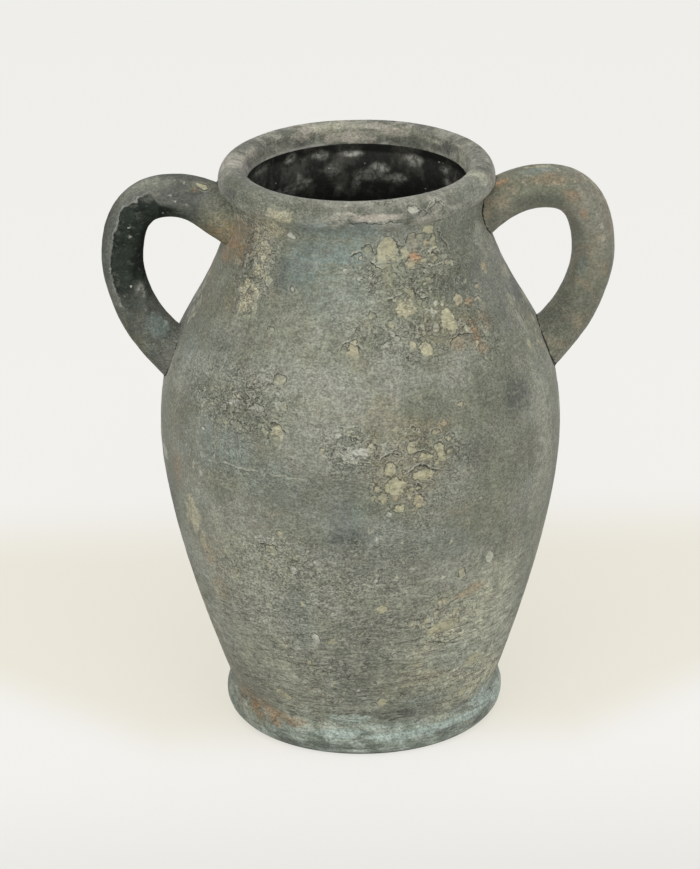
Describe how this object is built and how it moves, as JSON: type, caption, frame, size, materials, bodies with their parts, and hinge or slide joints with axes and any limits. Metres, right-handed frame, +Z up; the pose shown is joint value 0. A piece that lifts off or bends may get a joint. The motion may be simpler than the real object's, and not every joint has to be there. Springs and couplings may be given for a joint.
{
  "type": "two-handled vase",
  "caption": "Free-standing ceramic vase with a full belly, rolled foot, short neck with a thick lip, and loop handles from neck to shoulder.",
  "frame": {"origin": "centre of the foot ring's flat underside, on the surface the vase stands on", "axes": "+Z up along the axis of turning, +X from the axis towards the right handle"},
  "size_m": [0.2878, 0.2258, 0.33],
  "materials": {
    "body_clay": "matte weathered grey-green slip with pale blisters",
    "foot_clay": "matte dark grey-green with pale blue-green bloom",
    "rim_clay": "matte mottled grey-beige",
    "handle_clay": "matte olive grey-brown",
    "luting_slip": "matte dark slip"
  },
  "bodies": {
    "root": {"foot_ring": "foot_clay", "foot_luting": "luting_slip", "belly": "body_clay", "neck_luting": "luting_slip", "neck_rim": "rim_clay", "handle_right": "handle_clay", "handle_right_lower_luting": "luting_slip", "handle_right_upper_luting": "luting_slip", "handle_left": "handle_clay", "handle_left_lower_luting": "luting_slip", "handle_left_upper_luting": "luting_slip"}
  },
  "joints": []
}
